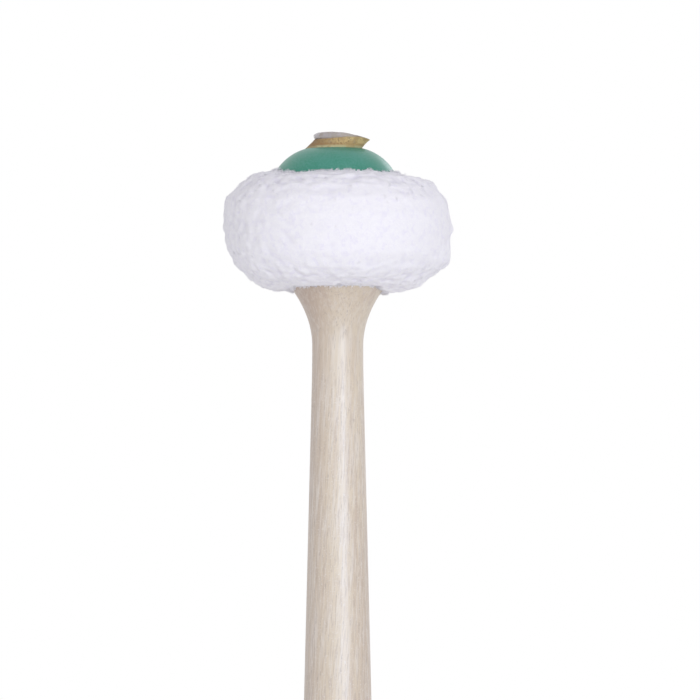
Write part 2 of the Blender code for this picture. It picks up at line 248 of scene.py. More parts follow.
@dataclass(frozen=True)
class Maple:
    """Pale maple under a satin lacquer, with fine grain that runs a little askew along the shaft.

    Each kind of grain has a size across the shaft and one along it. A side is a place along X, and the grip
    and the brown flare have heights of the frame.
    """

    unshaded_wood: Colour = srgb(217, 199, 171)
    # Painted shade: heart is the darker colour the wood is painted towards its left side.
    heart: Colour = srgb(195, 172, 147)
    brown: Colour = srgb(193, 168, 142)
    pale: Colour = srgb(228, 218, 206)
    band: Colour = srgb(192, 167, 143)
    line: Colour = srgb(178, 155, 134)
    pore: Colour = srgb(150, 128, 110)
    streak_size: Pair = (0.00055, 0.012)
    thread_size: Pair = (0.00026, 0.004)
    tick_size: Pair = (0.00032, 0.0021)
    band_size: Pair = (0.0021, 0.03)
    patch_size: float = 0.006
    patch_stretch: Triple = (1, 1, 0.4)
    glint_size: float = 0.0003
    grain_depth: float = 0.00003
    askew: float = math.radians(3.5)
    shade_full_x: float = -0.0075
    shade_end_x: float = 0.0010
    brown_side: float = 0.0030
    brown_edge: float = 0.0065
    shade_shift_low: float = 0.0020
    grip_low: float = 0.1500
    grip_high: float = 0.2000
    brown_low: float = 0.1980
    brown_high: float = 0.2140

    def fibres(self, m: Material, size: Pair, detail: float = 3.0) -> Wire:
        """Noise drawn out along the grain.

        Args:
            m: The material.
            size: The size of its blobs across the grain and along it.
            detail: The noise's detail.

        Returns:
            The noise, from 0 to 1.
        """
        width, length = size
        turned_in = {"Vector": m.place(), "Rotation": (0, self.askew, 0), "Scale": (1, 1, length / width)}
        return m.noise(m.add("ShaderNodeMapping", {"vector_type": "TEXTURE"}, turned_in), width, detail)

    def material(self) -> bpy.types.Material:
        """The wood, painted darker towards its left side as painted shade, with a browner flare, the grain
        and painted glints of the lacquer.

        Returns:
            The finished material.
        """
        m = Material("maple", ior=2.35, specular_tint=(0.70, 0.84, 1.0, 1.0))
        streaks = self.fibres(m, self.streak_size)
        threads = self.fibres(m, self.thread_size)
        ticks = self.fibres(m, self.tick_size, 1.0)
        bands = self.fibres(m, self.band_size)
        patches = m.noise(m.place(self.patch_stretch), self.patch_size, 3.0, 0.5)
        glints = m.noise(m.place(), self.glint_size, 1.0)
        across, height = m.along("X"), m.along("Z")
        flare = height.above(self.brown_low, self.brown_high)
        low = 1 - height.above(self.grip_low, self.grip_high)
        # Painted shade: the wood is painted darker towards its left (-X), and the shade reaches less far
        # across low on the grip.
        unshaded_share = (across + self.shade_shift_low * low).above(self.shade_full_x, self.shade_end_x)
        # On the flare, the painted shade at the left takes the browner colour.
        colour = m.mix(self.heart, self.brown, flare)
        colour = m.mix(colour, self.unshaded_wood, unshaded_share)
        colour = m.mix(colour, self.brown, across.above(self.brown_side, self.brown_edge) * low * 0.6)
        colour = m.mix(colour, self.band, bands.above(0.5, 0.7) * 0.5 + patches.above(0.52, 0.7) * 0.3)
        colour = m.mix(colour, self.pale, streaks.above(0.42, 0.66) * (0.55 - 0.2 * flare))
        colour = m.mix(colour, self.line, threads.above(0.48, 0.66) * (0.48 - 0.2 * flare))
        colour = m.mix(colour, self.pore, ticks.above(0.64, 0.74) * 0.35)
        # Painted glints: pale dots that stand for the sparkle of the lacquer.
        colour = m.mix(colour, self.pale, glints.above(0.6, 0.7) * (0.6 - 0.6 * flare))
        m.wear(base_color=colour, roughness=0.35 + 0.14 * streaks)
        m.bump(0.5 * streaks + 0.5 * threads, self.grain_depth, 0.5)
        return m.block


@dataclass(frozen=True)
class MouldedGreen:
    """A satin moulded core of blue green, a little clouded, with a fine orange peel."""

    green: Colour = srgb(34, 133, 108)
    cloud: Colour = srgb(60, 140, 123)
    speck: Colour = srgb(150, 180, 172)
    cloud_size: float = 0.004
    grain_size: float = 0.0003
    speck_size: float = 0.00022
    peel_size: float = 0.00045
    peel_depth: float = 0.00002

    def material(self) -> bpy.types.Material:
        """Clouds and grain in the green, and a few pale specks of dust.

        Returns:
            The finished material.
        """
        m = Material("moulded_green", coat_weight=0.3, coat_roughness=0.25)
        here = m.place()
        cloud = m.noise(here, self.cloud_size, 4.0)
        grain = m.noise(here, self.grain_size, 2.0)
        dust = m.noise(here, self.speck_size, 1.0)
        colour = m.mix(self.green, self.cloud, cloud.above(0.35, 0.7) * 0.6 + grain.above(0.44, 0.56) * 0.9)
        colour = m.mix(colour, self.speck, dust.above(0.74, 0.8) * 0.6)
        m.wear(base_color=colour, roughness=0.36 + 0.2 * cloud)
        m.bump(m.noise(here, self.peel_size, 3.0), self.peel_depth, 0.6)
        return m.block


@dataclass(frozen=True)
class Leather:
    """Tan sole leather whose cut edge shows its fibres, creamy below, with a painted crease shade just above
    that.

    The heights are of the frame, and a side is a place along X.
    """

    tan: Colour = srgb(193, 164, 114)
    dark_fibre_and_shade: Colour = srgb(128, 100, 70)
    gold_and_light: Colour = srgb(216, 190, 134)
    dust: Colour = srgb(166, 154, 134)
    cream: Colour = srgb(190, 186, 146)
    # Painted crease shade.
    crease_shade: Colour = srgb(148, 112, 70)
    fibre_size: float = 0.0004
    fibre_stretch: Triple = (1, 1, 0.7)
    fibre_depth: float = 0.00012
    patch_size: float = 0.0022
    blotch_size: float = 0.0009
    cream_low: float = 0.2544
    cream_high: float = 0.2549
    crease_shade_high: float = 0.2554
    film_low: float = 0.2561
    film_high: float = 0.2568
    shade_side: float = -0.0075
    light_side: float = 0.0045

    def material(self) -> bpy.types.Material:
        """Tan with painted shade that darkens it towards the left and painted light that turns it gold
        towards the right, under dust and a film of glue.

        Returns:
            The finished material.
        """
        m = Material("leather")
        fibres = m.noise(m.place(self.fibre_stretch), self.fibre_size, 4.0, 1.2)
        patches = m.noise(m.place(), self.patch_size, 3.0, 0.5)
        blotches = m.noise(m.place(), self.blotch_size, 3.0, 1.0)
        height = m.along("Z")
        # Painted light and shade: this share goes from 0 at the shaded left to 1 at the lit right.
        side = m.along("X").above(self.shade_side, self.light_side)
        over_cream = height.above(self.cream_low, self.cream_high)
        film = height.above(self.film_low, self.film_high)
        crease_shade_share = over_cream - height.above(self.cream_high, self.crease_shade_high)
        # Gold patches, painted stronger towards the lit right as painted light.
        colour = m.mix(self.tan, self.gold_and_light, patches.above(0.36, 0.56) * side)
        colour = m.mix(colour, self.dust, blotches.above(0.5, 0.7) * 0.5)
        # Dark fibres, and painted shade that darkens the left.
        colour = m.mix(colour, self.dark_fibre_and_shade, fibres.above(0.5, 0.72) * 0.6 + (1 - side) * 0.75)
        colour = m.mix(colour, self.dust, film * (0.35 + 0.5 * patches.above(0.4, 0.6)))
        # Painted shade of a crease, in a band just above the cream.
        colour = m.mix(colour, self.crease_shade, crease_shade_share * (0.2 + 0.3 * patches.above(0.4, 0.56)))
        colour = m.mix(colour, self.cream, (1 - over_cream) * (0.35 + 0.5 * patches.above(0.42, 0.56)))
        m.wear(base_color=colour, roughness=0.62 + 0.3 * fibres)
        m.bump(fibres, self.fibre_depth, 0.8)
        return m.block


@dataclass(frozen=True)
class DriedGlue:
    """Set glue, grey and half clear, mottled by bubbles and stains, and painted paler at its thick left end
    as painted light.
    """

    grey: Colour = srgb(167, 158, 151)
    lilac: Colour = srgb(172, 164, 166)
    olive: Colour = srgb(163, 162, 146)
    stain: Colour = srgb(162, 142, 118)
    # Painted light: the paler grey given to the thick left end.
    painted_light_grey: Colour = srgb(194, 188, 192)
    patch_size: float = 0.0016
    stain_size: float = 0.0028
    bubble_size: float = 0.0003
    ripple_depth: float = 0.00012
    thick_end: float = -0.0046
    thin_start: float = -0.0022

    def material(self) -> bpy.types.Material:
        """Patches, bubbles and stains in the grey, which is a little clearer over the stains.

        Returns:
            The finished material.
        """
        m = Material("dried_glue", coat_weight=0.4, coat_roughness=0.15, ior=1.48)
        here = m.place()
        patches = m.noise(here, self.patch_size, 3.0, 0.8)
        stains = m.noise(here, self.stain_size, 2.0, 0.4)
        bubbles = m.noise(here, self.bubble_size, 3.0)
        colour = m.mix(self.grey, self.lilac, patches.above(0.45, 0.6))
        # Painted light: the grey is painted paler towards the thick left end.
        colour = m.mix(self.painted_light_grey, colour, m.along("X").above(self.thick_end, self.thin_start))
        colour = m.mix(colour, self.olive, bubbles.above(0.52, 0.66) * 0.7)
        colour = m.mix(colour, self.stain, stains.above(0.52, 0.7) * 0.5)
        m.wear(base_color=colour, roughness=0.3 + 0.3 * bubbles, alpha=1 - 0.15 * stains.above(0.5, 0.75))
        m.bump(0.6 * patches + 0.4 * bubbles, self.ripple_depth, 0.7)
        return m.block


@dataclass(frozen=True)
class Fleece:
    """Matted white pile, faintly lilac, with paler fibres curled through it. Light soaks a little way in.

    The painted shade in the hollows fades out between two limits of how far a place stands out, in
    millimetres.
    """

    name: str = "fleece"
    soft: float = 0.4
    soak: float = 0.0009
    white: Colour = srgb(242, 241, 246)
    crease_shade: Colour = srgb(236, 234, 244)
    fibre: Colour = srgb(253, 252, 253)
    # Painted shade in the hollows.
    hollow: Colour = srgb(233, 231, 240)
    deepest: float = -0.26
    proudest: float = -0.02
    tuft_size: float = 0.0013
    curl_sizes: Pair = (0.0013, 0.0008)
    pile_depth: float = 0.00015

    def curls(self, m: Material, size: float) -> Wire:
        """Thin curled lines, which are 1 along their middle, where a noise of this size passes a half."""
        winding = m.noise(m.place(), size, 2.0, 2.2)
        return 1 - abs(winding - 0.5).above(0.005, 0.035)

    def material(self) -> bpy.types.Material:
        """Tufts with a painted crease shade between them and curls in the white, and painted shade in the
        hollows between the modelled tufts.

        Returns:
            The finished material.
        """
        m = Material(
            self.name, roughness=1.0, specular_ior_level=0.1, sheen_weight=0.1, sheen_roughness=0.6,
            subsurface_weight=self.soft, subsurface_radius=(1.0, 1.0, 1.0), subsurface_scale=self.soak)
        tufts = m.noise(m.place(), self.tuft_size, 3.0, 0.6)
        wide, fine = (self.curls(m, size) for size in self.curl_sizes)
        curls = wide * 0.5 + fine * 0.5
        proud = m.add("ShaderNodeAttribute", {"attribute_name": PROUD}, None, "Fac")
        # Painted shade: the tufts' noise leaves the lilac crease shade between its blobs.
        colour = m.mix(self.crease_shade, self.white, tufts.above(0.3, 0.52))
        colour = m.mix(colour, self.fibre, curls * 0.8)
        # Painted shade: places that stand out less than those round them take the darker hollow colour.
        m.wear(base_color=m.mix(self.hollow, colour, proud.above(self.deepest, self.proudest)))
        m.bump(0.4 * tufts + 0.6 * curls, self.pile_depth, 0.22)
        return m.block


@dataclass(frozen=True)
class Felt:
    """Pressed wool felt, off white, with loose hairs in it."""

    wool: Colour = srgb(228, 224, 214)
    hair: Colour = srgb(206, 200, 188)
    hair_size: float = 0.0005
    hair_depth: float = 0.0002

    def material(self) -> bpy.types.Material:
        """Darker hairs that wind through the wool.

        Returns:
            The finished material.
        """
        m = Material("felt", roughness=0.95, specular_ior_level=0.2)
        hairs = m.noise(m.place(), self.hair_size, 5.0, 2.5)
        m.wear(base_color=m.mix(self.wool, self.hair, hairs.above(0.5, 0.68)))
        m.bump(hairs, self.hair_depth, 0.8)
        return m.block


@dataclass(frozen=True)
class Thread:
    """Waxed linen thread, cream, a little darker between its strands."""

    linen: Colour = srgb(230, 226, 216)
    shade: Colour = srgb(204, 196, 180)
    yarn_size: float = 0.00018
    yarn_depth: float = 0.00006

    def material(self) -> bpy.types.Material:
        """The linen's colour and bumps from one fine noise.

        Returns:
            The finished material.
        """
        m = Material("thread", roughness=0.7)
        yarn = m.noise(m.place(), self.yarn_size, 3.0)
        m.wear(base_color=m.mix(self.shade, self.linen, yarn.above(0.35, 0.55)))
        m.bump(yarn, self.yarn_depth, 0.7)
        return m.block


class Slot(Enum):
    """The record's material slots, by the finish that each one holds."""

    MAPLE = "maple"
    GREEN = "green_core"
    LEATHER = "leather"
    FELT = "felt"
    FLEECE = "fleece"
    THREAD = "thread"
    GLUE = "glue"


FINISHES = {
    Slot.MAPLE: Maple(),
    Slot.GREEN: MouldedGreen(),
    Slot.LEATHER: Leather(),
    Slot.FELT: Felt(),
    Slot.FLEECE: Fleece(),
    Slot.THREAD: Thread(),
    Slot.GLUE: DriedGlue(),
}
# The pile's fleece is paler than the head's: painted light that offsets the dark sides of the thin hairs.
LOOSE_HAIR = Fleece(
    "fleece_pile", soft=0.0, white=srgb(249, 248, 252), crease_shade=srgb(244, 243, 249), fibre=srgb(253, 252, 254))


def linked(name: str, data: bpy.types.ID) -> bpy.types.Object:
    """Put a mesh, a lamp or a camera into the scene.

    Args:
        name: The object's name.
        data: What it holds.

    Returns:
        The object.
    """
    obj = bpy.data.objects.new(name, data)
    bpy.context.scene.collection.objects.link(obj)
    return obj


def band_faces(rows: int, columns: int, closed: bool = False) -> list:
    """Quads between rows of points that go round.

    Args:
        rows: How many rows there are.
        columns: How many points a row has.
        closed: Whether the last row also joins the first.

    Returns:
        The faces, each a list of four point numbers.
    """
    grid = np.arange(rows * columns).reshape(rows, columns)
    low = grid if closed else grid[:-1]
    high = np.roll(grid, -1, axis=0) if closed else grid[1:]
    faces = np.stack([low, np.roll(low, -1, axis=1), np.roll(high, -1, axis=1), high], axis=-1)
    return faces.reshape(-1, 4).tolist()


class Workshop:
    """Makes each finish once, and turns meshes into pieces that ride on the part's one body."""

    def __init__(self) -> None:
        """Make the materials and set the distance that is welded and the angle that counts as an edge."""
        self.materials = {slot: finish.material() for slot, finish in FINISHES.items()}
        self.hair_material = LOOSE_HAIR.material()
        self.weld = 1e-7
        self.edge_angle = math.radians(50)

    def piece(self, name: str, points: np.ndarray, faces: list, slot: Slot, node: str) -> bpy.types.Object:
        """A smooth mesh piece with its faces turned outwards.

        Args:
            name: The piece's name.
            points: Its vertices, one row each.
            faces: Its faces, each a list of vertex numbers.
            slot: The record's slot, which also names the finish.
            node: The solid that it stands for.

        Returns:
            The piece, riding on the body.
        """
        mesh = bpy.data.meshes.new(name)
        mesh.from_pydata(np.asarray(points, float).tolist(), [], faces)
        bm = bmesh.new()
        bm.from_mesh(mesh)
        bmesh.ops.remove_doubles(bm, verts=bm.verts, dist=self.weld)
        bmesh.ops.recalc_face_normals(bm, faces=bm.faces)
        bm.to_mesh(mesh)
        bm.free()
        mesh.shade_smooth()
        mesh.set_sharp_from_angle(angle=self.edge_angle)
        mesh.materials.append(self.materials[slot])
        obj = linked(name, mesh)
        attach(obj, BODY)
        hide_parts(node)
        LOG.info("%s: %d vertices, %d faces", name, len(mesh.vertices), len(mesh.polygons))
        return obj

    def banded(
        self, name: str, grid: np.ndarray, slot: Slot, node: str, closed: bool = False
    ) -> bpy.types.Object:
        """A piece whose surface runs through rows of points that go round, and that stands for one solid."""
        return self.piece(name, grid.reshape(-1, 3), band_faces(*grid.shape[:2], closed), slot, node)

    def dress(self, node: str, slot: Slot) -> None:
        """Give a solid of the frame its finish.

        Args:
            node: The solid's node.
            slot: The record's slot, which names the finish.
        """
        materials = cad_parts[node].data.materials
        materials.clear()
        materials.append(self.materials[slot])
        LOG.info("%s: carried over with %s", node, slot.value)


class Seat:
    """Where the frame holds a round node: its axis, its lowest and highest points and its half width."""

    def __init__(self, node: str) -> None:
        """Read the node's box, from whose front and back the half width is taken.

        Args:
            node: The solid's node.
        """
        low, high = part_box(node)
        self.x = (low.x + high.x) / 2
        self.base, self.top = low.z, high.z
        self.middle = (low.z + high.z) / 2
        self.half_height = (high.z - low.z) / 2
        self.radius = (high.y - low.y) / 2


def level_way(turn: float) -> Vector:
    """The level direction out from the shaft's axis at a turn in radians."""
    return Vector((math.cos(turn), math.sin(turn), 0))


def even_turns(count: int) -> np.ndarray:
    """As many even turns round the shaft, in radians."""
    return np.arange(count) * math.tau / count


def arc(centre: Point, radius: float, start: float, end: float, steps: int) -> list[Point]:
    """Points of an arc between two angles, in degrees from the outward radius towards +Z."""
    angles = np.radians(np.linspace(start, end, steps + 1))
    return [(centre[0] + radius * math.cos(a), centre[1] + radius * math.sin(a)) for a in angles]


def bent(start: np.ndarray, corner: np.ndarray, end: np.ndarray, share: float) -> np.ndarray:
    """Where a curve is that sets out towards a corner and comes in from it, at a share of its way."""
    return (1 - share) ** 2 * start + 2 * share * (1 - share) * corner + share**2 * end


def eased(before: Point, corner: Point, after: Point, reach: float, steps: int = 16) -> list[Point]:
    """A corner of a profile eased into a curve.

    Args:
        before: The profile's point before the corner.
        corner: The corner.
        after: The profile's point after it.
        reach: How far from the corner the curve leaves the two straight sides.
        steps: The curve's steps.

    Returns:
        The curve's points.
    """
    at = np.array(corner)
    ends = [at + (np.array(p) - at) * reach / math.dist(corner, p) for p in (before, after)]
    return [tuple(bent(ends[0], at, ends[1], share)) for share in np.linspace(0, 1, steps + 1)]


def spaced(points: list[Point], count: int) -> np.ndarray:
    """Points at even distances along a line.

    Args:
        points: The line's own points.
        count: How many points are wanted.

    Returns:
        The new points, one row each.
    """
    line = np.array(points)
    gone = np.concatenate([[0], np.cumsum(np.linalg.norm(np.diff(line, axis=0), axis=1))])
    wanted = np.linspace(0, gone[-1], count)
    return np.stack([np.interp(wanted, gone, line[:, k]) for k in range(line.shape[1])], axis=1)


def turned(profile: list[Point], sides: int, x: float = 0.0) -> np.ndarray:
    """A profile turned about an upright axis.

    Args:
        profile: Its radii and heights.
        sides: How many points go round.
        x: Where the axis stands.

    Returns:
        Rows of points, one row for each point of the profile.
    """
    turns = even_turns(sides)
    radii, heights = np.array(profile).T
    points = np.empty((len(profile), sides, 3))
    points[..., 0] = x + np.outer(radii, np.cos(turns))
    points[..., 1] = np.outer(radii, np.sin(turns))
    points[..., 2] = heights[:, None]
    return points


def outward(grid: np.ndarray) -> tuple[np.ndarray, np.ndarray]:
    """How a surface faces that goes round the shaft.

    Args:
        grid: Its rows of points.

    Returns:
        The unit normal of each point, and the area that the point stands for.
    """
    wrapped = np.concatenate([grid[:, -1:], grid, grid[:, :1]], axis=1)
    normals = np.cross(np.gradient(grid, axis=0), np.gradient(wrapped, axis=1)[:, 1:-1])
    area = np.linalg.norm(normals, axis=2)
    return normals / area[..., None], area


def beside(radius_at: Callable[[float], float], height: float, offset: float) -> Point:
    """The point that lies an offset away from a turned surface, square to it.

    Args:
        radius_at: The surface's radius at any height.
        height: The height of the point on the surface.
        offset: How far away the point lies.

    Returns:
        The point's radius and height.
    """
    step = 1e-5
    slope = (radius_at(height + step) - radius_at(height - step)) / (2 * step)
    length = math.hypot(1, slope)
    return (radius_at(height) + offset / length, height - offset * slope / length)


@dataclass
class Shaft:
    """One turned piece of maple. Heights are measured from the butt's flat end."""

    butt_radius: float = 0.0074
    butt_round: float = 0.0022
    grip_radius: float = 0.0082
    grip_height: float = 0.2110
    grip_ease: float = 0.0240
    neck_radius: float = 0.00562
    neck_height: float = 0.3158
    neck_ease: float = 0.0040
    flare_height: float = 0.3209
    shoulder_height: float = 0.3362
    shoulder_radius: float = 0.0124
    shoulder_round: float = 0.0005
    tenon_radius: float = 0.0040
    tenon_chamfer: float = 0.0006
    sides: int = 128
    butt_steps: int = 12
    flare_steps: int = 40
    seat: Seat = field(default_factory=lambda: Seat("shaft"))

    @property
    def shoulder(self) -> float:
        """The shoulder's height in the frame."""
        return self.seat.base + self.shoulder_height

    def radius_at(self, z: float) -> float:
        """The flare's radius, which opens as a parabola.

        Args:
            z: A height in the frame.

        Returns:
            The radius there.
        """
        rise = z - self.seat.base - self.flare_height
        share = max(0.0, rise / (self.shoulder_height - self.flare_height))
        return self.neck_radius + (self.shoulder_radius - self.neck_radius) * share**2

    def profile(self) -> list[Point]:
        """The butt, the grip, the taper to the neck, the flare, the shoulder and the tenon.

        Returns:
            Radii and heights, from the middle of the butt to the middle of the tenon's end.
        """
        base, shoulder = self.seat.base, self.shoulder
        butt = (self.butt_radius, base + self.butt_round)
        grip = (self.grip_radius, base + self.grip_height)
        neck = (self.neck_radius, base + self.neck_height)
        flare = (self.neck_radius, base + self.flare_height)
        points = [(0, base)]
        points += arc((self.butt_radius - self.butt_round, butt[1]), self.butt_round, -90, 0, self.butt_steps)
        points += eased(butt, grip, neck, self.grip_ease)
        points += eased(grip, neck, flare, self.neck_ease)
        rise = np.linspace(flare[1], shoulder - self.shoulder_round, self.flare_steps)
        points += [(self.radius_at(z), z) for z in rise]
        points += [(self.radius_at(rise[-1]) - self.shoulder_round, shoulder), (self.tenon_radius, shoulder)]
        points += [(self.tenon_radius, self.seat.top - self.tenon_chamfer)]
        points += [(self.tenon_radius - self.tenon_chamfer, self.seat.top), (0, self.seat.top)]
        return points

    def build(self, shop: Workshop) -> None:
        """Turn the shaft."""
        shop.banded("maple_shaft", turned(self.profile(), self.sides), Slot.MAPLE, "shaft")


@dataclass
class Core:
    """The moulded dome, bored for the shaft's tenon."""

    edge_round: float = 0.0025
    dome_arc: float = 0.0110
    seat_radius: float = 0.0066
    bore_radius: float = 0.0043
    sides: int = 144
    edge_steps: int = 10
    dome_steps: int = 32
    seat: Seat = field(default_factory=lambda: Seat("core"))

    def __post_init__(self) -> None:
        """Work out where the dome's arc is centred, and where it ends under the leather disc."""
        self.arc_centre = self.seat.radius - self.dome_arc
        self.seat_angle = math.asin((self.seat_radius - self.arc_centre) / self.dome_arc)
        self.dome_base = self.seat.top - self.dome_arc * math.cos(self.seat_angle)

    def radius_at(self, z: float) -> float:
        """The outer radius at a height in the frame that lies above the rounded lower edge."""
        rise = max(0.0, z - self.dome_base)
        return self.arc_centre + math.sqrt(self.dome_arc**2 - rise**2)

    def build(self, shop: Workshop) -> None:
        """Turn the core about its own axis, and keep its bore on the shaft's.

        Args:
            shop: Where the piece is made.
        """
        seat = self.seat
        edge = (seat.radius - self.edge_round, seat.base + self.edge_round)
        dome = (self.arc_centre, self.dome_base)
        profile = [(self.bore_radius, seat.top), (self.bore_radius, seat.base)]
        profile += arc(edge, self.edge_round, -90, 0, self.edge_steps)
        profile += arc(dome, self.dome_arc, 0, 90 - math.degrees(self.seat_angle), self.dome_steps)
        points = turned(profile, self.sides, seat.x)
        points[:2, :, 0] -= seat.x
        shop.banded("moulded_core", points, Slot.GREEN, "core", closed=True)


@dataclass
class TopDisc:
    """The leather disc, cut at a slant, and the glue that has set on it.

    The disc's upper edge and the glue's body are lines of places along X and heights, in millimetres.
    """

    radius: float = 0.0061
    base_x: float = -0.0009
    lean: float = 0.0019
    crown: float = 0.0003
    hollow: float = 0.00018
    heel: float = 0.0003
    rough_cut: float = 0.00007
    fray_size: float = 0.0006
    fray_stretch: float = 0.3
    wave_size: float = 0.0025
    upper_edge: tuple[Point, ...] = (
        (-5.6, 2.45), (-5.0, 2.05), (-1.5, 2.0), (2.2, 2.38), (5.0, 2.4), (7.1, 2.05))
    glue_x: float = 0.0008
    glue_length: float = 0.0062
    glue_width: float = 0.0056
    glue_body: tuple[Point, ...] = (
        (-5.4, 1.25), (-4.3, 1.42), (-1.5, 1.44), (1.5, 0.88), (3.4, 0.42), (5.1, 0.14), (7.0, 0.05))
    glue_foot: float = 0.3
    glue_ripple: float = 0.00018
    glue_ripples: float = 2.4
    glue_bulge: float = 0.00009
    bulge_size: float = 0.0016
    bulge_layer: float = 0.01
    sides: int = 160
    core: Core = field(default_factory=Core)

    @staticmethod
    def along(line: tuple[Point, ...], x: float) -> float:
        """What a line of places and heights in millimetres gives at a place, in metres."""
        places, heights = np.array(line).T * MM
        return float(np.interp(x, places, heights))

    def surface(self, x: float, y: float) -> float:
        """The height of the disc's crowned upper face at a place."""
        spread = math.hypot(x - self.base_x - self.lean, y) / self.radius
        return self.core.seat.top + self.along(self.upper_edge, x) + self.crown * (1 - min(spread, 1.0) ** 2)

    def leather_point(self, turn: float, spread: float, up: float, rough: float) -> Triple:
        """A point of the disc.

        Args:
            turn: Its turn round the disc's axis, in radians.
            spread: Its share of the radius.
            up: Its share of the way from the lower face to the upper one.
            rough: How much of the cut's roughness it takes, from 0 to 1.

        Returns:
            The point.
        """
        x, y = spread * self.radius * math.cos(turn), spread * self.radius * math.sin(turn)
        rise = up * (self.surface(self.base_x + self.lean + x, y) - self.core.seat.top)
        fray = noise.noise(Vector((x, y, rise * self.fray_stretch)) / self.fray_size)
        wave = noise.noise(Vector((x, y, rise)) / self.wave_size)
        grown = 1 + (fray + wave) * self.rough_cut / self.radius * rough
        heel = self.heel * (1 - up**3) * max(0.0, -math.cos(turn)) * spread
        return (self.base_x + self.lean * up + x * grown - heel, y * grown, self.core.seat.top + rise)

    def build_leather(self, shop: Workshop) -> None:
        """The disc: a flat base with a spread heel at the left, a hollow slanted side and a crowned top.

        Args:
            shop: Where the piece is made.
        """
        base, side = (0.0, 0.5, 0.9, 1.0), np.linspace(0.06, 0.94, 9)
        top = np.append(np.linspace(1.0, 0.1, 12), 0.0)
        dip = self.hollow / self.radius
        rows = [(spread, 0.0) for spread in base]
        rows += [(1 - dip * math.sin(math.pi * up), up) for up in side]
        rows += [(spread, 1.0) for spread in top]
        turns = even_turns(self.sides)
        points = [
            [self.leather_point(turn, *place, row > 0) for turn in turns] for row, place in enumerate(rows)]
        shop.banded("leather_top_disc", np.array(points), Slot.LEATHER, "leather_disc")

    def glue_points(self, turn: float, rows: list[Point]) -> list[Triple]:
        """The glue's points at one turn, whose side is rounder the further left it stands.

        Args:
            turn: The turn round the glue's middle, in radians.
            rows: For each point, its share of the way out and its share of the way up the side.

        Returns:
            The points.
        """
        way = level_way(turn)
        ripple = 1 + self.glue_ripple / self.glue_width * noise.noise(way * self.glue_ripples)
        rim = Vector((self.glue_length * way.x, self.glue_width * way.y, 0)) * ripple
        wall = self.along(self.glue_body, self.glue_x + rim.x) / 2
        first = -math.pi / 2 * max(self.glue_foot, -way.x) ** 2
        points = []
        for share, up in rows:
            angle = first + (math.pi / 2 - first) * up
            place = rim * share * (1 - wall * (1 - math.cos(angle)) / rim.length)
            x, y = self.glue_x + place.x, place.y
            rise = self.along(self.glue_body, x) * (math.sin(angle) - math.sin(first)) / (1 - math.sin(first))
            swelling = noise.noise(Vector((x, y, self.bulge_layer)) / self.bulge_size)
            bulge = self.glue_bulge * swelling * (up == 1) * (1 - share**6)
            points.append((x, y, self.surface(x, y) + rise + bulge))
        return points

    def build_glue(self, shop: Workshop) -> None:
        """The glue: a blob that stands thick and round at its left side and runs out to a film at the right.

        Args:
            shop: Where the piece is made.
        """
        foot, side = (0.0, 0.5, 0.8), np.linspace(0, 1, 13)
        top = np.append(np.linspace(0.95, 0.05, 16), 0.0)
        rows = [(share, 0.0) for share in foot]
        rows += [(1.0, up) for up in side]
        rows += [(share, 1.0) for share in top]
        columns = [self.glue_points(turn, rows) for turn in even_turns(self.sides)]
        shop.banded("set_glue", np.array(columns).swapaxes(0, 1), Slot.GLUE, "adhesive_cap")


@dataclass
class FeltWrap:
    """The felt strip wrapped once round the core, whose rounded ends face each other at the back."""

    core: Core
    joint: float = 0.0026
    side_round: float = 0.0022
    edge_round: float = 0.0006
    fuzz: float = 0.00006
    fuzz_size: float = 0.0012
    gap: float = 0.0003
    steps: int = 260
    edge_steps: int = 4
    side_steps: int = 8
    end_shares: Triple = (0.05, 0.6, 0.96)
    node: str = "inner_felt"

    def section(self) -> list[Point]:
        """The strip's section, from its upper inner corner down and round.

        Returns:
            Radii from the core's axis, and heights.
        """
        low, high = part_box(self.node)
        edge, side = self.edge_round, self.side_round
        inner = self.core.seat.radius + self.gap + edge
        outer = (high.x - low.x) / 2 - side
        points = arc((inner, high.z - edge), edge, 90, 180, self.edge_steps)
        points += arc((inner, low.z + edge), edge, 180, 270, self.edge_steps)
        points += arc((outer, low.z + side), side, -90, 0, self.side_steps)
        points += arc((outer, high.z - side), side, 0, 90, self.side_steps)
        return points

    def ring(self, turn: float, profile: np.ndarray) -> np.ndarray:
        """The section at one turn, roughened by the felt's fuzz.

        Args:
            turn: The turn round the core, in radians.
            profile: The section's radii and heights.

        Returns:
            The ring's points, one row each.
        """
        way = level_way(turn)
        ring = np.empty((len(profile), 3))
        for number, (radius, height) in enumerate(profile):
            place = way * radius + Vector((0, 0, height))
            inset = radius - abs(self.fuzz * noise.noise(place / self.fuzz_size))
            ring[number] = (way.x * inset, way.y * inset, height)
        return ring

    def build(self, shop: Workshop) -> None:
        """Sweep the section round the core and close both ends.

        Args:
            shop: Where the piece is made.
        """
        profile = np.array(self.section())
        start = math.pi / 2 + math.asin(self.joint / 2 / profile[:, 0].max())
        sweep = math.tau - 2 * (start - math.pi / 2)
        rings = [self.ring(start + sweep * step / self.steps, profile) for step in range(self.steps + 1)]
        ends = []
        for ring in (rings[0], rings[-1]):
            middle = ring.mean(axis=0)
            ends.append([middle + (ring - middle) * share for share in self.end_shares])
        points = np.array(ends[0] + rings + ends[1][::-1])
        points[..., 0] += self.core.seat.x
        last, count = points.size // 3, len(profile)
        faces = band_faces(*points.shape[:2]) + [list(range(count)), list(range(last - count, last))]
        wrap = shop.piece("felt_wrap", points.reshape(-1, 3), faces, Slot.FELT, self.node)


@dataclass(frozen=True)
class Section:
    """The cover's outer side at one turn about the shaft, in degrees and millimetres.

    It starts at the rim on the dome, goes out over the points and ends at the hem on the flare. Heights are
    measured from the shaft's shoulder.
    """

    turn: float
    rim: float
    points: tuple[Point, ...]
    hem: float


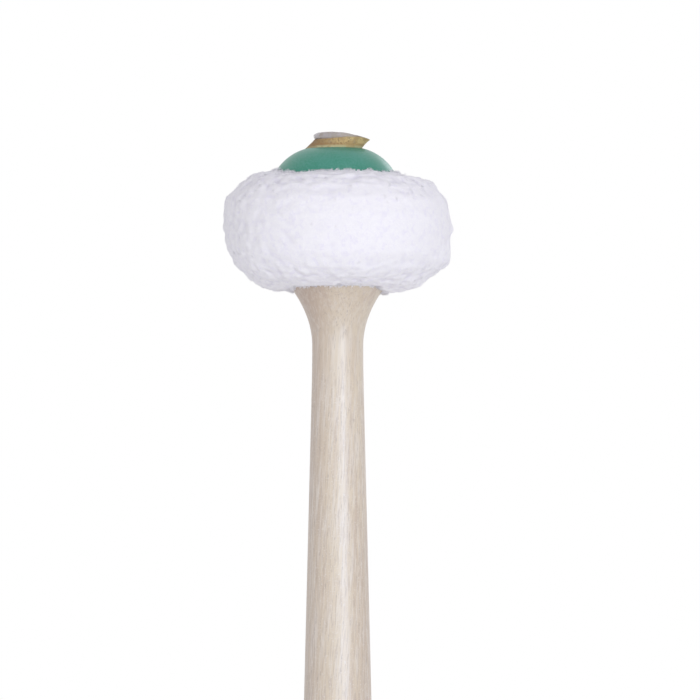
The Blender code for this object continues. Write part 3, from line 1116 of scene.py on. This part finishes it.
RIGHT = Section(0, 22.7, (
    (15.0, 22.0), (16.8, 21.3), (21.2, 20.85), (22.4, 18.8), (24.2, 17.0), (24.9, 13.0), (25.1, 10.3),
    (24.8, 8.0), (24.7, 2.5), (21.6, 0.5), (17.6, -2.7), (13.7, -3.4), (11.2, -3.8)), -3.5)
BACK = Section(90, 23.0, (
    (16.0, 22.8), (19.4, 21.9), (22.3, 19.8), (24.4, 16.8), (25.1, 13.0), (25.0, 9.0), (24.5, 5.0),
    (22.6, 1.6), (19.6, -0.9), (15.8, -2.9), (12.0, -3.5)), -3.2)
LEFT = Section(180, 23.5, (
    (14.5, 23.2), (18.4, 22.8), (21.8, 20.1), (24.7, 17.2), (25.2, 14.6), (24.9, 10.5), (24.6, 6.2),
    (23.0, 2.2), (20.0, -0.4), (15.3, -3.1), (11.0, -3.4)), -3.2)
FRONT = Section(228, 22.2, (
    (16.4, 22.0), (19.6, 21.4), (22.4, 19.3), (24.3, 16.4), (25.1, 12.5), (24.9, 8.0), (24.2, 4.2),
    (22.0, 0.9), (18.9, -1.1), (15.5, -2.2), (12.4, -2.6)), -2.35)


@dataclass(frozen=True)
class Lump:
    """A place where the fleece stands proud, or is pinched in if negative, in degrees and millimetres."""

    turn: float
    height: float
    proud: float
    wide: float
    tall: float

    def at(self, turn: float, height: float) -> float:
        """What the lump gives at a turn and a height."""
        away = (turn - self.turn + 180) % 360 - 180
        return self.proud * math.exp(-((away / self.wide) ** 2) - ((height - self.height) / self.tall) ** 2)


@dataclass
class FleeceHead:
    """The fleece cover: a thick ring drawn in at the top and the bottom, with tufts and creases.

    The sections go round in the order of their turns. Smoothing is counted in passes over neighbouring
    points. Where the cover is gathered, at the rim and the hem, its tufts are deeper and crowd closer round
    the shaft. Round the matted place the relief is flatter, and its lump says by what share.
    """

    shaft: Shaft
    core: Core
    felt: FeltWrap
    sections: tuple[Section, ...] = (RIGHT, BACK, LEFT, FRONT, replace(FRONT, turn=312))
    lumps: tuple[Lump, ...] = (
        Lump(0, 10.4, 0.5, 9, 1.1),
        Lump(0, 8.4, -0.2, 12, 0.9),
        Lump(180, 10.7, 0.45, 8, 0.8),
        Lump(180, 9.2, -0.2, 10, 0.7),
        Lump(90, 10.0, -0.5, 1.8, 11.0),
    )
    matted: Lump = Lump(300, 11.0, 0.78, 68, 9.5)
    gap: float = 0.0003
    lip_gap: float = 0.0001
    columns: int = 476
    rows: int = 176
    softening: int = 9
    felting: int = 4
    surroundings: int = 60
    edge_rows: int = 12
    rag: float = 0.0004
    rag_turns: float = 4.6
    fine_rag: float = 0.7
    fine_rag_turns: float = 2.9
    rim_layer: float = 0.0
    hem_layer: float = 9.0
    girth: float = 0.0250
    depth: float = 0.0560
    gathering: float = 2.5
    tall_tufts: float = 1.25
    drawn_tufts: float = 0.45
    tuft_size: float = 0.0025
    tuft_crown: float = 1.1
    tuft_level: float = 0.67
    tuft_height: float = 0.0012
    gathered_height: float = 0.0024
    puffy: float = 0.6
    wisp_size: float = 0.0024
    wisp_octaves: int = 3
    wisp_fade: float = 0.6
    drift: float = 0.0012
    drift_size: float = 0.005
    swell_size: float = 0.0075
    swell_height: float = 0.0004
    swell_from: Triple = (3, 7, 1)
    pile_depth: float = 0.0002
    edge_relief: float = 0.3
    edge_climb: float = 14.0
    channel_sweep: float = 75.0
    channel_steps: int = 8
    corner_steps: int = 6

    def outline(self, section: Section) -> np.ndarray:
        """A section's outer side at even distances, with its corners softened.

        Args:
            section: The section.

        Returns:
            Radii and heights from the rim to the hem, one row each.
        """
        shoulder = self.shaft.shoulder
        rim = beside(self.core.radius_at, shoulder + section.rim * MM, self.lip_gap)
        hem = beside(self.shaft.radius_at, shoulder + section.hem * MM, self.lip_gap)
        line = spaced([rim] + [(r * MM, shoulder + h * MM) for r, h in section.points] + [hem], self.rows)
        for _ in range(self.softening):
            line[1:-1] = (line[:-2] + 2 * line[1:-1] + line[2:]) / 4
        return line

    def ragged(self, way: Vector, layer: float) -> float:
        """How far an edge wanders up or down at one turn, where the layer picks the edge."""
        place = way * self.rag_turns + Vector((0, 0, layer))
        return self.rag * (noise.noise(place) + self.fine_rag * noise.noise(place * self.fine_rag_turns))

    def base(self) -> np.ndarray:
        """The outer surface before its relief: the sections eased into each other round the shaft.

        Returns:
            Rows of points from the rim to the hem.
        """
        turns = [section.turn for section in self.sections] + [self.sections[0].turn + 360]
        lines = [self.outline(section) for section in self.sections]
        lines.append(lines[0])
        near = np.clip(1 - np.arange(self.rows) / self.edge_rows, 0, 1)
        grid = np.empty((self.rows, self.columns, 3))
        for column in range(self.columns):
            degrees = 360 * column / self.columns
            before = sum(turn <= degrees for turn in turns) - 1
            share = (degrees - turns[before]) / (turns[before + 1] - turns[before])
            share = (1 - math.cos(math.pi * share)) / 2
            line = (1 - share) * lines[before] + share * lines[before + 1]
            way = level_way(math.radians(degrees))
            rim, hem = self.ragged(way, self.rim_layer), self.ragged(way, self.hem_layer)
            line[:, 1] += rim * near + hem * near[::-1]
            line[0] = beside(self.core.radius_at, line[0, 1], self.lip_gap)
            line[-1] = beside(self.shaft.radius_at, line[-1, 1], self.lip_gap)
            grid[:, column, 0] = line[:, 0] * way.x + self.core.seat.x * near
            grid[:, column, 1] = line[:, 0] * way.y
            grid[:, column, 2] = line[:, 1]
        return grid

    def relief(self, where: Vector, turn: float, along: float) -> float:
        """How far the fleece stands out from its base at one place.

        Args:
            where: The place on the base.
            turn: The angle round the shaft in degrees.
            along: The share of the way from the rim to the hem.

        Returns:
            The height in metres.
        """
        gathered = abs(2 * along - 1) ** self.gathering
        around = self.girth * (self.tall_tufts + (self.drawn_tufts - self.tall_tufts) * gathered)
        angle = math.radians(turn)
        place = Vector((around * math.cos(angle), around * math.sin(angle), along * self.depth))
        place += self.drift * noise.noise_vector(place / self.drift_size)
        near = noise.voronoi(place / self.tuft_size)[0][0]
        wisps = noise.turbulence(
            place / self.wisp_size, self.wisp_octaves, True, amplitude_scale=self.wisp_fade)
        tufts = self.puffy * (self.tuft_crown - near**2) + (1 - self.puffy) * wisps
        swell = noise.noise(where / self.swell_size + Vector(self.swell_from))
        deep = self.tuft_height + (self.gathered_height - self.tuft_height) * gathered
        height = deep * (tufts - self.tuft_level) + self.swell_height * swell - self.pile_depth
        above = (where.z - self.shaft.shoulder) / MM
        height *= 1 - self.matted.at(turn, above)
        height += sum(lump.at(turn, above) * MM for lump in self.lumps)
        return height * min(1.0, self.edge_relief + self.edge_climb * min(along, 1 - along))

    @staticmethod
    def felted(heights: np.ndarray, passes: int) -> np.ndarray:
        """Heights smoothed into their neighbours, both round the head and from the rim to the hem.

        Args:
            heights: The heights, in rows that go round.
            passes: How often they are smoothed.

        Returns:
            The smoothed heights.
        """
        for _ in range(passes):
            heights = (np.roll(heights, 1, axis=1) + 2 * heights + np.roll(heights, -1, axis=1)) / 4
            heights[1:-1] = (heights[:-2] + 2 * heights[1:-1] + heights[2:]) / 4
        return heights

    def skin(self) -> tuple[np.ndarray, np.ndarray]:
        """The outer surface with its relief.

        Returns:
            Rows of points from the rim to the hem, and how far each stands out from those around it.
        """
        grid = self.base()
        normals, _ = outward(grid)
        heights = np.empty(grid.shape[:2])
        for row, column in np.ndindex(self.rows, self.columns):
            turn, along = 360 * column / self.columns, row / (self.rows - 1)
            heights[row, column] = self.relief(Vector(grid[row, column]), turn, along)
        heights = self.felted(heights, self.felting)
        return grid + heights[..., None] * normals, heights - self.felted(heights, self.surroundings)

    def channel(self, node: str, radius_at: Callable[[float], float]) -> list[Point]:
        """The hollow in the lining that holds a drawstring, from its lower edge to its upper one.

        Args:
            node: The drawstring.
            radius_at: The radius at any height of what the string is drawn round.

        Returns:
            Points of the hollow's arc.
        """
        string = Seat(node)
        centre = (string.radius - string.half_height, string.middle)
        onward = beside(radius_at, string.middle, 1.0)
        facing = math.degrees(math.atan2(onward[1] - string.middle, onward[0] - radius_at(string.middle)))
        ends = (facing - self.channel_sweep, facing + self.channel_sweep)
        return arc(centre, string.half_height + self.gap, *ends, self.channel_steps)

    def lining(self) -> np.ndarray:
        """The inner side, from the hem over the drawstrings and the felt to the rim.

        Returns:
            Rows of points. Above the shoulder they go over from the shaft's axis to the core's.
        """
        seat, corner = Seat(self.felt.node), self.felt.side_round
        side = seat.radius - corner
        profile = self.channel("bottom_drawstring", self.shaft.radius_at)
        profile += [(self.shaft.shoulder_radius + 2 * self.gap, self.shaft.shoulder)]
        profile += [(self.core.seat.radius + 2 * self.gap, self.core.seat.base)]
        profile += arc((side, seat.base + corner), corner + self.gap, -90, 0, self.corner_steps)
        profile += arc((side, seat.top - corner), corner + self.gap, 0, 90, self.corner_steps)
        profile += self.channel("top_drawstring", self.core.radius_at)
        points = turned(profile, self.columns)
        climb = (points[..., 2] - self.shaft.shoulder) / (seat.base - self.shaft.shoulder)
        points[..., 0] += self.core.seat.x * np.clip(climb, 0, 1)
        return points

    def build(self, shop: Workshop, skin: np.ndarray, proud: np.ndarray) -> bpy.types.Object:
        """The cover as one closed ring of the skin and the lining, whose points say how far they stand out.

        Args:
            shop: Where the piece is made.
            skin: The outer surface's rows of points.
            proud: How far each of them stands out from those around it, in metres.

        Returns:
            The piece.
        """
        lining = self.lining()
        grid = np.concatenate([skin, lining])
        head = shop.banded("fleece_head", grid, Slot.FLEECE, "fleece_cover", closed=True)
        marks = np.concatenate([proud / MM, np.zeros(lining.shape[:2])])
        head.data.attributes.new(PROUD, "FLOAT", "POINT").data.foreach_set("value", marks.ravel())
        return head


@dataclass
class Pile:
    """Short curled hairs on the fleece, in locks that lie together.

    The comb draws the hairs out from the shaft by its X and up by its Z. Without one they lie down in swirls.
    Lengths and lifts vary between two shares of their size. Reaches are shares of a hair's length, and the
    lifts of its bend and its tip are shares of its own lift. The last shares are places from root to tip.
    """

    locks: int
    seed: int
    length: float = 0.0012
    comb: Vector | None = None
    hairs_in_lock: int = 10
    thickness: float = 0.00005
    thinning: Triple = (1.0, 0.9, 0.6)
    corners: int = 3
    lock_width: float = 0.00032
    sunk: float = 0.00012
    lift: float = 0.00008
    swirl_size: float = 0.0035
    lock_stray: float = 0.3
    hair_stray: float = 0.08
    lock_curl: float = 0.4
    hair_curl: float = 0.1
    lock_lengths: Pair = (0.6, 1.3)
    hair_lengths: Pair = (0.8, 1.1)
    lifts: Pair = (0.3, 1.3)
    bend_reach: float = 0.3
    bend_lift: float = 1.5
    tip_reach: float = 0.8
    tip_lift: float = 0.35
    shares: tuple[float, ...] = (0.0, 0.36, 0.7, 1.0)

    def each(self, values: np.ndarray) -> np.ndarray:
        """The values of the locks, repeated for each lock's hairs."""
        return np.repeat(values, self.hairs_in_lock, axis=0)

    def ways(self, roots: np.ndarray, normals: np.ndarray, chance: np.random.Generator) -> np.ndarray:
        """Which way each hair lies.

        Args:
            roots: Where the hairs start, one row each.
            normals: The way out of the surface there.
            chance: The random numbers to use.

        Returns:
            A unit vector for each hair.
        """
        lie = np.array([noise.noise_vector(Vector(root) / self.swirl_size) for root in roots])
        stray = self.each(self.lock_stray * chance.normal(size=(self.locks, 3)))
        lie += stray + self.hair_stray * chance.normal(size=lie.shape)
        if self.comb is None:
            lie -= (lie * normals).sum(1)[:, None] * normals
        else:
            turns = np.arctan2(roots[:, 1], roots[:, 0])
            out, up = self.comb.x, np.full_like(turns, self.comb.z)
            lie += np.stack([out * np.cos(turns), out * np.sin(turns), up], axis=1)
        return lie / np.linalg.norm(lie, axis=1)[:, None]

    def hairs(self, roots: np.ndarray, normals: np.ndarray, chance: np.random.Generator) -> np.ndarray:
        """The middle lines of the hairs.

        Args:
            roots: Where the hairs start, one row each.
            normals: The way out of the surface there.
            chance: The random numbers to use.

        Returns:
            An array of hairs by points by three coordinates.
        """
        lie = self.ways(roots, normals, chance)
        length = self.length * self.each(chance.uniform(*self.lock_lengths, (self.locks, 1)))
        length *= chance.uniform(*self.hair_lengths, (len(roots), 1))
        lift = self.lift * chance.uniform(*self.lifts, (len(roots), 1))
        curl = self.each(chance.normal(0, self.lock_curl, (self.locks, 1)))
        curl = curl + chance.normal(0, self.hair_curl, (len(roots), 1))
        start = roots - self.sunk * normals
        bend = start + (self.sunk + self.bend_lift * lift) * normals + self.bend_reach * length * lie
        sideways = self.tip_reach * lie + curl * np.cross(normals, lie)
        end = start + (self.sunk + self.tip_lift * lift) * normals + length * sideways
        return np.stack([bent(start, bend, end, share) for share in self.shares], axis=1)

    def surfaces(self, lines: np.ndarray, chance: np.random.Generator) -> tuple[np.ndarray, list]:
        """The hairs as closed slips of three sides that run out to a point.

        Args:
            lines: The hairs' middle lines.
            chance: The random numbers to use.

        Returns:
            The points, one row each, and the faces.
        """
        ahead = np.gradient(lines, axis=1)
        ahead /= np.linalg.norm(ahead, axis=2)[..., None]
        across = np.cross(ahead, chance.normal(size=(len(lines), 1, 3)))
        across /= np.linalg.norm(across, axis=2)[..., None]
        beyond = np.cross(ahead, across)
        corners, rings = self.corners, len(self.thinning)
        tip = corners * rings
        points = np.empty((len(lines), tip + 1, 3))
        for ring, thin in enumerate(self.thinning):
            for corner, turn in enumerate(even_turns(corners)):
                offset = math.cos(turn) * across[:, ring] + math.sin(turn) * beyond[:, ring]
                points[:, corners * ring + corner] = lines[:, ring] + 0.5 * thin * self.thickness * offset
        points[:, tip] = lines[:, -1]
        last = tip - corners
        one = [tuple(reversed(range(corners)))]
        one += [(last + k, last + (k + 1) % corners, tip) for k in range(corners)]
        for low in range(0, last, corners):
            high = low + corners
            sides = ((k, (k + 1) % corners) for k in range(corners))
            one += [(low + k, low + after, high + after, high + k) for k, after in sides]
        faces = [tuple((tip + 1) * hair + v for v in face) for hair in range(len(lines)) for face in one]
        return points.reshape(-1, 3), faces

    def build(self, shop: Workshop, name: str, skin: np.ndarray, body: bpy.types.Object) -> None:
        """One piece of pile on a band of the skin.

        Args:
            shop: Where the piece is made.
            name: The piece's name.
            skin: The rows of points of that band.
            body: The piece that it grows on.
        """
        chance = np.random.default_rng(self.seed)
        normals, area = outward(skin)
        picked = self.each(chance.choice(area.size, self.locks, p=(area / area.sum()).ravel()))
        normals = normals.reshape(-1, 3)[picked]
        spread = chance.normal(0, self.lock_width / 2, (len(picked), 3))
        roots = skin.reshape(-1, 3)[picked] + spread - (spread * normals).sum(1)[:, None] * normals
        points, faces = self.surfaces(self.hairs(roots, normals, chance), chance)
        mesh = bpy.data.meshes.new(name)
        mesh.from_pydata(points.tolist(), [], faces)
        mesh.shade_smooth()
        mesh.materials.append(shop.hair_material)
        obj = linked(name, mesh)
        obj.parent = body
        LOG.info("%s: %d hairs", name, len(picked))


@dataclass
class Drawstring:
    """A thread drawn into a ring, laid up from three strands."""

    node: str
    strands: int = 3
    lay: float = 0.0035
    strand_share: float = 0.5
    steps: int = 240
    sides: int = 8

    def strand(self, number: int) -> np.ndarray:
        """One strand, wound about the thread's own middle as that goes round the ring.

        Args:
            number: Which of the strands it is.

        Returns:
            Rows of points, one row for each step round the ring.
        """
        seat = Seat(self.node)
        ring = seat.radius - seat.half_height
        radius = seat.half_height * self.strand_share
        swing = seat.half_height - radius
        twists = round(math.tau * ring / self.lay)
        points = np.empty((self.steps, self.sides, 3))
        for step, turn in enumerate(even_turns(self.steps)):
            way = level_way(turn)
            roll = twists * turn + math.tau * number / self.strands
            heart = Vector((seat.x, 0, seat.middle)) + way * (ring + swing * math.cos(roll))
            heart.z += swing * math.sin(roll)
            for side, angle in enumerate(even_turns(self.sides)):
                up = Vector((0, 0, radius * math.sin(angle)))
                points[step, side] = heart + way * radius * math.cos(angle) + up
        return points

    def build(self, shop: Workshop) -> None:
        """Lay the strands up into one piece.

        Args:
            shop: Where the piece is made.
        """
        points = np.concatenate([self.strand(number).reshape(-1, 3) for number in range(self.strands)])
        one = np.array(band_faces(self.steps, self.sides, closed=True))
        faces = np.concatenate([one + number * self.steps * self.sides for number in range(self.strands)])
        shop.piece(f"twisted_{self.node}", points, faces.tolist(), Slot.THREAD, self.node)


@dataclass(frozen=True)
class Lamp:
    """A square soft lamp, in watts, metres and degrees, where azimuth 0 is the camera's side."""

    name: str
    power: float
    side: float
    azimuth: float
    elevation: float
    tint: Colour = WHITE


@dataclass
class Studio:
    """A white room with soft lamps round the camera and one behind, seen from the photograph's side."""

    aim: Vector = field(default_factory=lambda: Vector((0.0027, 0, 0.2099)))
    distance: float = 1.0
    elevation: float = -1.5
    width_seen: float = 0.154
    sensor: float = 36.0
    sight: float = 100.0
    fill: float = 0.565
    room: Colour = srgb(249, 247, 255)
    lamps: tuple[Lamp, ...] = (
        Lamp("key_lamp", 1.2, 0.6, 6, 0, (1.0, 1.0, 0.96, 1.0)),
        Lamp("soft_lamp", 0.5, 0.45, -26, 14),
        Lamp("window_lamp", 1.55, 0.25, 26, 0, (0.86, 0.88, 1.0, 1.0)),
        Lamp("top_lamp", 1.02, 0.5, 24, 50),
        Lamp("back_lamp", 1.0, 0.4, 150, 18, (0.9, 0.92, 1.0, 1.0)),
    )
    floor_colour: Colour = srgb(247, 247, 247)
    floor_radius: float = 6.0
    floor_sides: int = 96
    floor_gap: float = 0.0002
    floor_glow: float = 0.5
    fade: Pair = (0.3, 1.4)

    def around(self, azimuth: float, elevation: float) -> Vector:
        """A place as far from the aim as the camera.

        Args:
            azimuth: The angle round the aim in degrees, where 0 is the camera's side.
            elevation: The angle above the aim's level in degrees.

        Returns:
            The place.
        """
        a, e = math.radians(azimuth), math.radians(elevation)
        way = Vector((math.sin(a) * math.cos(e), -math.cos(a) * math.cos(e), math.sin(e)))
        return self.aim + self.distance * way

    def place(self, data: bpy.types.ID, name: str, where: Vector) -> bpy.types.Object:
        """Put a lamp or a camera at a place, turned to the aim.

        Args:
            data: The lamp or the camera.
            name: The object's name.
            where: The place.

        Returns:
            The object.
        """
        obj = linked(name, data)
        obj.location = where
        obj.rotation_euler = (self.aim - where).to_track_quat("-Z", "Y").to_euler()
        return obj

    def set_camera(self) -> None:
        """The camera, long enough that the width seen is that of the photograph."""
        data = bpy.data.cameras.new("camera")
        data.sensor_width = self.sensor
        data.lens = self.sensor * self.distance / self.width_seen
        data.clip_end = self.sight
        bpy.context.scene.camera = self.place(data, "camera", self.around(0, self.elevation))

    def set_lamp(self, lamp: Lamp) -> None:
        """Put a lamp at its place.

        Args:
            lamp: The lamp.
        """
        data = bpy.data.lights.new(lamp.name, "AREA")
        data.energy = lamp.power
        data.size = lamp.side
        data.color = lamp.tint[:3]
        self.place(data, lamp.name, self.around(lamp.azimuth, lamp.elevation))

    def set_world(self) -> None:
        """An even white room, at full white where the camera, gloss or glass sees it."""
        world = bpy.data.worlds.new("white_room")
        world.use_nodes = True
        bpy.context.scene.world = world
        graph = Graph(world.node_tree)
        kinds = ("Camera", "Glossy", "Transmission")
        camera, gloss, glass = (graph.add("ShaderNodeLightPath", output=f"Is {kind} Ray") for kind in kinds)
        seen = camera.or_more(gloss).or_more(glass)
        background = world.node_tree.nodes["Background"]
        graph.feed(background.inputs["Color"], graph.mix(self.room, WHITE, seen))
        graph.feed(background.inputs["Strength"], self.fill + (1 - self.fill) * seen)

    def set_floor(self) -> None:
        """A pale round floor under the butt, which fades into the white room far out."""
        bm = bmesh.new()
        bmesh.ops.create_circle(bm, cap_ends=True, segments=self.floor_sides, radius=self.floor_radius)
        mesh = bpy.data.meshes.new("floor")
        bm.to_mesh(mesh)
        bm.free()
        floor = linked("floor", mesh)
        floor.location.z = CAD_BOX[0].z - self.floor_gap
        m = Material("pale_floor", roughness=0.9, specular_ior_level=0.1, base_color=self.floor_colour)
        far = m.add("ShaderNodeVectorMath", {"operation": "LENGTH"}, {0: m.place()}, "Value")
        seen = m.add("ShaderNodeLightPath", output="Is Camera Ray") * self.floor_glow
        white = m.add("ShaderNodeEmission", None, {"Color": WHITE, "Strength": 1.0})
        layers = {0: seen.or_more(far.above(*self.fade)), 1: Wire(m, m.shader.outputs[0]), 2: white}
        m.feed(m.tree.nodes["Material Output"].inputs["Surface"], m.add("ShaderNodeMixShader", None, layers))
        mesh.materials.append(m.block)

    def build(self) -> None:
        """Set everything up, with the render's colours left as they are written."""
        bpy.context.scene.view_settings.view_transform = "Standard"
        self.set_camera()
        for lamp in self.lamps:
            self.set_lamp(lamp)
        self.set_world()
        self.set_floor()


def grow_pile(shop: Workshop, skin: np.ndarray, body: bpy.types.Object) -> None:
    """Grow the hairs: three bands over the head, sparse in the middle one, and a combed fringe at both edges.

    Args:
        shop: Where the pieces are made.
        skin: The head's rows of points, from the rim to the hem.
        body: The head.
    """
    third = len(skin) // 3
    upper, middle, lower = (skin[part * third : (part + 1) * third + 1] for part in range(3))
    Pile(locks=240, seed=5).build(shop, "pile_upper", upper, body)
    Pile(locks=60, seed=6).build(shop, "pile_middle", middle, body)
    Pile(locks=240, seed=7).build(shop, "pile_lower", lower, body)
    rim_comb, hem_comb = Vector((-1.08, 0, 1.68)), Vector((-1.16, 0, -1.64))
    Pile(locks=260, seed=8, length=0.0008, comb=rim_comb).build(shop, "rim_fringe", skin[1:7], body)
    Pile(locks=220, seed=9, length=0.0008, comb=hem_comb).build(shop, "hem_fringe", skin[-7:-1], body)


def main() -> None:
    """Build the mallet's sub-assemblies in order."""
    logging.basicConfig(level=logging.INFO, format="%(message)s")
    noise.seed_set(NOISE_SEED)
    Studio().build()
    shop = Workshop()
    shaft, core = Shaft(), Core()
    shaft.build(shop)
    core.build(shop)
    disc = TopDisc(core=core)
    disc.build_leather(shop)
    disc.build_glue(shop)
    felt = FeltWrap(core)
    felt.build(shop)
    head = FleeceHead(shaft, core, felt)
    skin, proud = head.skin()
    grow_pile(shop, skin, head.build(shop, skin, proud))
    for node in ("bottom_drawstring", "top_drawstring"):
        Drawstring(node).build(shop)
    shop.dress("lower_washer", Slot.LEATHER)
    shop.dress("seam_thread", Slot.THREAD)


if __name__ == "__main__":
    main()
